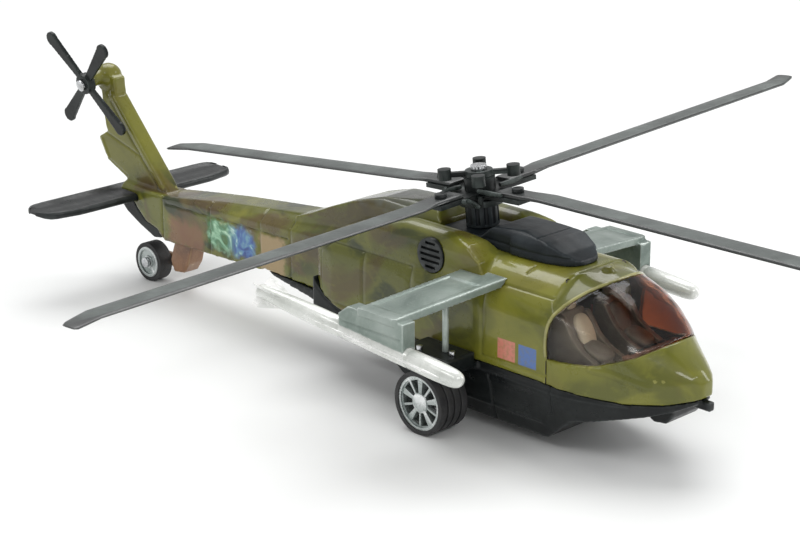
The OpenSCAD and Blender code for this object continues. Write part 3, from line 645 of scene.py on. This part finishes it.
door_lines = [
    [(20, 23.2), (20, 41), (23, 44), (43, 44)],
    [(20, 23.2), (43, 23.2)],
    [(-45, 25.5), (-45, 38), (-40, 41.5), (-8, 41.5), (-8, 23.5), (-41, 23.5), (-45, 25.5)],
    [(-27, 23.5), (-27, 41.5)],
]
boom_lines = [
    [(-69, 20), (-69, 41)], [(-84, 20), (-84, 39)], [(-70, 33.5), (-134, 30.2)],
    [(-136, 17), (-136, 33)], [(-110, 19), (-110, 36)],
]
fin_lines = [[(-142, 33), (-165.4, 58)], [(-157.8, 34), (-170, 39)], [(-150, 42), (-168.5, 47)]]
roof_lines = [[(43, -12), (43, 12)], [(-60, -6.2), (-20, -6.8)], [(-60, 6.2), (-20, 6.8)],
              [(30, -13.5), (30, -10)], [(30, 13.5), (30, 10)]]
raised_lines = [[(-138.5, 33.5), (-164.5, 61)], [(-169, 62), (-168, 48.5)],
                [(-170.5, 44), (-167.5, 38.5)]]


def near_opening(mm):
    """Less smoothing close to the seam and to the glass, so that the shells keep meeting."""
    ring = np.hypot(mm[:, 0] - GLASS_X, mm[:, 2] - GLASS_Z) - GLASS_R
    away = np.minimum(np.abs(mm[:, 0] - SEAM_X), np.where(mm[:, 0] > 40, np.abs(ring), 9))
    return np.clip(away / FREE_DISTANCE, 0.12, 1)


def cabin_shape(co, normals):
    co = press(co, normals, -0.34, door_lines + boom_lines + fin_lines, roof_lines)
    return press(co, normals, 0.35, raised_lines, width=0.8)


softened("cabin_shell", 0.42, 16, near_opening, cabin_shape, keep=0.5, name="cabin_and_tail")


def nose_shape(co, normals):
    return press(co, normals, 0.5, [[(57, 28.4), (62, 28.0), (71, 25.2)]], width=1.3)


softened("nose_shell", 0.34, 30, near_opening, nose_shape, keep=0.6, name="nose")
softened("windshield", 0.30, 30, near_opening, keep=0.6, name="canopy_glass", angle=80)


def shell_tree():
    """The outer skins of cabin, nose and glass, for laying trim on them."""
    bm = bmesh.new()
    for node in ("cabin_shell", "nose_shell", "windshield"):
        bm.from_mesh(nodes[node].data)
    tree = BVHTree.FromBMesh(bm)
    bm.free()
    return tree


skin = shell_tree()


def side_hit(x, z, side):
    """The skin's point at x and z on one side, or None above the roof."""
    hit = skin.ray_cast(at(x, side * 60, z), Vector((0, -side, 0)))[0]
    return hit if hit is not None and hit.y * side > -1e-4 else None


RIM_START, RIM_STEP, RIM_STEPS = 192, 1.6, 70  # degrees about the middle of the glass
RIM_OFFSET, RIM_RADIUS = 0.35, 0.48
SILL_Z = 28.2


def canopy_rim():
    """A thin bead round the rear edge of the glass, from sill to sill over the roof; its light olive paint is
    partly a painted glint along the edge.
    """
    halves = []
    for side in (-1, 1):
        half = []
        for step in range(RIM_STEPS):
            turn = math.radians(RIM_START - step * RIM_STEP)
            r = GLASS_R + RIM_OFFSET
            x, z = GLASS_X + r * math.cos(turn), GLASS_Z + r * math.sin(turn)
            hit = side_hit(x, z, side) if z > SILL_Z else None
            if hit is not None and abs(hit.y) > 0.0012:
                half.append(hit)
        halves.append(half)
    path = halves[0] + halves[1][::-1]
    smooth = [path[0]] + [(path[i - 1] + 2 * path[i] + path[i + 1]) / 4
                          for i in range(1, len(path) - 1)] + [path[-1]]
    mesh = mesh_from("canopy_rim", *tube_data(smooth, RIM_RADIUS * MM))
    g = Graph("rim_lacquer_and_painted_glint")
    # light olive, partly the bead's paint and partly a painted glint along the glass edge
    colour = g.ramp(g.noise(120, 4), [(0.3, (0.15, 0.145, 0.03)), (0.7, (0.36, 0.34, 0.11))])
    paint = g.finish(colour, g.remap(g.noise(500, 3), 0.3, 0.7, 0.18, 0.3),
                     g.bump(g.noise(700, 3), 0.1, 0.0004), Coat_Weight=0.6, Coat_Roughness=0.08)
    add_piece("canopy_rim", mesh, "body_paint", "airframe", material=paint)


canopy_rim()


# ---------- cockpit ----------

def pill_data(centre, half, tilt, power=2.6, rings=14, sides=28):
    """A rounded block leaning back about Y."""
    turn = Matrix.Rotation(tilt, 4, "Y")
    place = Matrix.Translation(centre) @ turn

    def soft(v):
        return math.copysign(abs(v) ** (2 / power), v)

    sections = []
    for i in range(rings + 1):
        a = math.pi * (i / rings - 0.5)
        loop = []
        for k in range(sides):
            b = 2 * math.pi * k / sides
            p = Vector((half[0] * max(soft(math.cos(a)), 0.02) * soft(math.cos(b)),
                        half[1] * max(soft(math.cos(a)), 0.02) * soft(math.sin(b)),
                        half[2] * soft(math.sin(a)))) * MM
            loop.append(place @ p)
        sections.append(loop)
    return loft_data(sections)


SEAT_Y = 8.4
# pads of a seat: x, y from its middle, z, half size, tilt in degrees
BACK_PADS = [(45.2, -1.2, 33.4, (1.5, 3.2, 4.8), -32), (40.6, 0, 40.0, (1.2, 2.4, 1.7), -32)]
BASE_PADS = [(51.6, 0, 29.4, (4.2, 3.4, 1.3), 18)]


def make_seats():
    for side, word in ((1, "left"), (-1, "right")):
        node = "seat_" + word
        bucket = softened(node, 0.3, 10, keep=0.6, name="seat_bucket_" + word,
                          material=materials["seat_grey"])
        back_slot = "cream_plastic" if word == "right" else "seat_grey"
        for part, pads, slot in (("back_", BACK_PADS, back_slot),
                                 ("base_", BASE_PADS, "seat_grey")):
            data = [pill_data(at(x, side * (SEAT_Y + y), z), half, math.radians(tilt))
                    for x, y, z, half, tilt in pads]
            mesh = mesh_from(part + word, *join_data(data))
            add_piece("seat_" + part + word, mesh, slot, "airframe")


make_seats()
softened("dash_panel", 0.3, 8, keep=0.6, name="dashboard")


DIAL_X, DIAL_Z, DIAL_TILT = 62.2, 31.3, -24
DIAL_PROFILE = [(0, 0), (1.05, 0), (1.05, 0.45), (0.8, 0.5), (0.75, 0.3), (0, 0.3)]
STICK = [(58.4, 22.3, 0.5), (57.6, 26, 0.4), (57.9, 28.2, 0.7)]  # x, z, radius


def make_dials():
    """Round dials on the dashboard and a control stick in front of each seat."""
    tilt = Matrix.Rotation(math.radians(DIAL_TILT), 4, "Y")
    parts = []
    for y in (-7.6, -4.4, -1.3, 1.3, 4.4, 7.6):
        profile = [(r * MM, h * MM) for r, h in DIAL_PROFILE]
        parts.append(lathe_data(profile, Matrix.Translation(at(DIAL_X, y, DIAL_Z)) @ tilt, 20))
    for y in (-SEAT_Y, SEAT_Y):
        parts.append(tube_data([at(x, y, z) for x, z, _ in STICK], [r * MM for _, _, r in STICK]))
    mesh = mesh_from("dials", *join_data(parts))
    add_piece("dials_and_sticks", mesh, "black_plastic", "airframe")


make_dials()
bevelled("cockpit_floor", 0.2)


# ---------- roof, engines, chassis ----------

def cowling_shape(co, normals):
    co = press(co, normals, -0.3, top_lines=[[(12, -7), (12, 7)], [(28, -7), (28, 7)]])
    return press(co, normals, -0.25, side_lines=[[(10, 51.4), (38, 51.2)]])


softened("roof_cowling", 0.3, 26, shape=cowling_shape, keep=0.6, name="engine_cowling")
for name in ("exhaust_left", "exhaust_right"):
    bevelled(name, 0.15)

chassis_ribs = [[(-40, 19.4), (-20, 18.6), (44, 18.4), (66, 19.0)], [(-8, 8.5), (40, 8.5)]]
chassis_grooves = [[(44, 12.5), (44, 20.5)], [(-14, 12), (-14, 20.4)], [(22, 4), (22, 18)]]


def chassis_shape(co, normals):
    co = press(co, normals, 0.3, chassis_ribs, width=0.7)
    return press(co, normals, -0.3, chassis_grooves)


softened("chassis", 0.45, 8, shape=chassis_shape, keep=0.5, name="chassis_tray")


# ---------- wings and stores ----------

WING_FRONT, WING_CHORD, WING_SWEEP = 25.8, 14.4, 0.205  # at the root; sweep is x lost per mm
WING_ROOT, WING_TIP = 15, 49.6
PANEL_ROOT, PANEL_RIM, PANEL_DEPTH = 22, 1.5, 0.28
PYLON_TOP = 37.6


def wing_shape(co, normals):
    """Sinks the middle of the wing's top and bottom, leaving a rim all round."""
    mm = (co - np.array([mast_x, 0, 0])) / MM
    out = np.abs(mm[:, 1])
    front = WING_FRONT - (out - WING_ROOT) * WING_SWEEP
    inner = np.minimum.reduce([front - mm[:, 0], mm[:, 0] - (front - WING_CHORD), WING_TIP - out,
                               out - PANEL_ROOT])
    flat = (np.abs(normals[:, 2]) > 0.8) * (mm[:, 2] > PYLON_TOP)
    panel = np.clip((inner - PANEL_RIM) / 0.6, 0, 1) * flat
    co = co - normals * (panel * PANEL_DEPTH * MM)[:, None]
    pylon_lines = [[(-3, 35.3), (19.5, 35.3)]]
    return press(co, normals, -0.22, pylon_lines, width=0.4)


for name in ("wing_left", "wing_right"):
    softened(name, 0.28, 5, shape=wing_shape, keep=0.5)
for name in ("strut_left", "strut_right"):
    bevelled(name, 0.1)


STORE_X, STORE_Y, STORE_Z, STORE_TILT = 40, 48.5, 28.5, 4.3  # the front end; the nose hangs down
STORE_R = 2.7
STORE_PROFILE = [
    (0.02, 0), (0.8, 0.12), (1.4, 0.5), (1.9, 1.1), (2.25, 2), (2.5, 3.4), (2.62, 5.5),
    (STORE_R, 9), (STORE_R, 18), (2.52, 18.3), (2.52, 18.9), (STORE_R, 19.2), (STORE_R, 44),
    (2.5, 44.3), (2.5, 44.9), (STORE_R, 45.2), (STORE_R, 55), (2.5, 64), (2.32, 70),
    (2.2, 77.6), (1.9, 78.4), (1.4, 78.6), (1.3, 76.5), (0.02, 76.5)]
# distance from the axis, front and rear end, half thickness
STORE_FIN = [(1.6, 66, 78.4, 0.36), (3.2, 70.5, 78.4, 0.3), (4.6, 75, 78.2, 0.18)]
STORE_RIDGE = [(6, 0.1), (9, 0.36), (20, 0.36), (40, 0.36), (56, 0.1)]  # station, radius
RIDGE_OUT = 2.62
STORE_LUGS, LUG_OUT, LUG_LENGTH, LUG_R = (31, 12.5), 2.5, 0.5, 0.55


def make_store(word, side):
    """The long silver store: tube, collars, ridge, rear fins and two lugs."""
    node = "missile_" + word
    place = (Matrix.Translation(at(STORE_X, side * STORE_Y, STORE_Z))
             @ Matrix.Rotation(math.radians(STORE_TILT), 4, "Y")
             @ Matrix.Rotation(math.radians(-90), 4, "Y"))
    parts = [lathe_data([(r * MM, h * MM) for r, h in STORE_PROFILE], place, 44)]
    ridge = [place @ (Vector((0, side * RIDGE_OUT, h)) * MM) for h, _ in STORE_RIDGE]
    parts.append(tube_data(ridge, [r * MM for _, r in STORE_RIDGE], 8))
    for k in range(4):
        a = math.radians(45 + 90 * k)
        out, flat = Vector((math.cos(a), math.sin(a), 0)), Vector((-math.sin(a), math.cos(a), 0))
        sections = []
        for reach, h0, h1, thick in STORE_FIN:
            corners = [(h0, 0), ((h0 + h1) / 2, thick), (h1, 0.6 * thick), (h1, -0.6 * thick),
                       ((h0 + h1) / 2, -thick)]
            sections.append([place @ ((out * reach + flat * t + Vector((0, 0, h))) * MM)
                             for h, t in corners])
        parts.append(loft_data(sections))
    for h in STORE_LUGS:
        foot = place @ (Vector((0, side * LUG_OUT, h)) * MM)
        lug = [foot, foot + Vector((0, side * LUG_LENGTH, 0)) * MM]
        parts.append(tube_data(lug, LUG_R * MM, 14))
    mesh = mesh_from(node, *join_data(parts))
    add_piece("store_" + word, mesh, slot_of[node], "airframe", (node,))


make_store("left", 1)
make_store("right", -1)


# ---------- tail ----------

def make_stabilator():
    """A slab with raised lips along its front and rear edges and rounded tips."""
    low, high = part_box("stabilator")
    half = high.y / MM
    rear, front = (low.x - mast_x) / MM, (high.x - mast_x) / MM
    mid, thick = (low.z + high.z) / 2 / MM, (high.z - low.z) / 2 / MM
    outline = [(0, 0, 0), (0.4, 3.6, 8.2), (1.2, 2.2, 4.6), (2.6, 1.0, 2.6), (4.5, 0.3, 1.6),
               (8, 0, 0.9), (12, 0, 0.1), (14, 0, 0), (half, 0, 0)]
    profile = [(0, 0.15), (0.012, 0.7), (0.04, 1.0), (0.11, 1.0), (0.14, 0.62), (0.5, 0.55),
               (0.86, 0.62), (0.89, 1.0), (0.96, 1.0), (0.988, 0.7), (1, 0.15)]
    sections = []
    stations = [(-half + inset, a, b) for inset, a, b in outline[1:]]
    stations += [(-y, a, b) for y, a, b in reversed(stations[:-1])]
    for y, cut_rear, cut_front in stations:
        x0, x1 = rear + cut_rear, front - cut_front
        edge = min(1.0, 0.45 + (half - abs(y)) / 3)
        top = [(x0 + u * (x1 - x0), mid + v * thick * edge) for u, v in profile]
        bottom = [(x0 + u * (x1 - x0), mid - v * thick * edge) for u, v in reversed(profile)]
        sections.append([at(x, y, z) for x, z in top + bottom])
    add_piece("stabilator_plate", loft("stabilator", sections), "black_plastic", "airframe",
              ("stabilator",), angle=50)


make_stabilator()
softened("tail_leg", 0.25, 26, keep=0.7, name="tail_wheel_leg")
softened("tail_cap", 0.3, 8, keep=0.7, name="tail_underside")
for name in ("tail_wheel_hub", "tail_tyre", "tail_axle", "tail_rotor_pin"):
    bevelled(name, 0.2)
softened("tail_rotor", 0.2, 5, keep=0.6, name="tail_rotor_blades")


# ---------- main rotor ----------

ROTOR_TURN = math.radians(-2.5)
mast_frame = Matrix.Translation(hub) @ lean @ Matrix.Rotation(ROTOR_TURN, 4, "Z")
BLADE_R, BLADE_ROOT, BLADE_T = 140, 9, 1.15
BLADE_BEND = 22                         # the blade bends up or down from this radius
BLADE_SEAT = 0.05                       # its root lies this far above the grip
SLAB_END, SLAB_FADE = 18.5, 6           # the square-edged root turns into an aerofoil
BLADE_STATIONS = [9, 9.4, 12, 15, 18.5, 20, 21.5, 23, 25, 27, *range(32, 131, 7),
                  131, 133, 135, 136.5, 138, 139, 139.6, 140]
AEROFOIL = [(0, 0.45), (0.02, 0.72), (0.07, 0.9), (0.16, 0.97), (0.3, 1.0), (0.5, 0.98),
            (0.72, 0.9), (0.9, 0.76), (0.97, 0.62), (1, 0.42), (0.97, 0.22), (0.9, 0.1),
            (0.6, 0.02), (0.3, 0.0), (0.1, 0.06), (0.02, 0.22)]


def blade_edges(r):
    """Leading and trailing edge of a blade at radius r."""
    rs = [9, 19, 25, 131, 136, 139, 140]
    lead = [-3.2, -3.2, -2.62, -2.62, -0.7, 0.6, 1.3]
    trail = [3.2, 3.2, 4.87, 4.87, 6.2, 6.9, 6.6]
    return float(np.interp(r, rs, lead)), float(np.interp(r, rs, trail))


def make_blade(word, turn, lift):
    """A thin blade. turn is its angle about the mast, lift the tip's height above the root."""
    node = "blade_" + word
    place = mast_frame @ Matrix.Rotation(turn, 4, "Z")
    sections = []
    for r in BLADE_STATIONS:
        lead, trail = blade_edges(r)
        drop = lift * max(r - BLADE_BEND, 0) / (BLADE_R - BLADE_BEND)
        end = min(1, 0.45 + (BLADE_R - r) * 0.6, 0.6 + (r - BLADE_ROOT) * 0.9)
        flat = min(max((r - SLAB_END) / SLAB_FADE, 0), 1)
        loop = []
        for u, v in AEROFOIL:
            boxy = 0.5 + math.copysign(min(abs(v - 0.5) * 1.7, 0.5), v - 0.5)
            height = (0.5 + ((boxy * (1 - flat) + v * flat) - 0.5) * end) * BLADE_T
            z = BLADE_SEAT + drop + height
            loop.append(place @ (Vector((r, lead + u * (trail - lead), z)) * MM))
        sections.append(loop)
    paint = blade_paint("blade_paint_" + word, turn + ROTOR_TURN)
    add_piece("rotor_blade_" + word, loft(node, sections), "rotor_plastic", "main_rotor", (node,),
              angle=50, material=paint)


def tip_height(node):
    """How far a blade's tip stands above its root, measured on the CAD blade."""
    inverse = mast_frame.inverted()
    points = [(inverse @ v.co) / MM for v in nodes[node].data.vertices]
    tip = [p.z for p in points if p.xy.length > BLADE_R - 3]
    return (min(tip) + max(tip)) / 2 - BLADE_SEAT - BLADE_T / 2


for word, turn in (("front", 0), ("left", 90), ("rear", 180), ("right", 270)):
    make_blade(word, math.radians(turn), tip_height("blade_" + word))
for name in ("rotor_hub", "absorber_star", "rotor_cap", "blade_bolts", "mast_sleeve"):
    bevelled(name, 0.22)
bevelled("mast_shaft", 0.15)


# bars on the hub, seen with the grip pointing along X: path, radius at its points, sides
HUB_BARS = [
    ([(5.6, 4.6, -3.3), (7.4, 4.9, -1.6), (9.8, 4.7, -0.4)], [0.7, 0.5, 0.7], 10),      # pitch link
    ([(9.8, 4.8, -0.7), (10.2, 3.2, -0.7)], [0.7, 0.7], 10),                            # its arm
    ([(3.6, -4.2, 0.8), (8.4, -4.4, 0.8), (12.4, -3.9, 0.8)], [0.6, 0.75, 0.5], 12),    # damper
]


def make_hub_trim():
    """Pitch links and dampers between the hub's flange and the four grips."""
    parts = []
    for k in range(4):
        turn = mast_frame @ Matrix.Rotation(math.radians(90 * k), 4, "Z")
        for path, radii, sides in HUB_BARS:
            parts.append(tube_data([turn @ (Vector(p) * MM) for p in path], [r * MM for r in radii],
                                   sides))
    add_piece("hub_links", mesh_from("hub_links", *join_data(parts)), "rotor_plastic", "main_rotor")


make_hub_trim()


# ---------- wheels and hidden mechanism ----------

for name in ("rim_left", "rim_right"):
    bevelled(name, 0.16)
for name in ("tyre_left", "tyre_right"):
    bevelled(name, 0.32)
bevelled("gear_studs", 0.2)
bevelled("main_axle", 0.2)
for name, obj in nodes.items():
    obj.material_slots[0].material = materials[slot_of[name]]
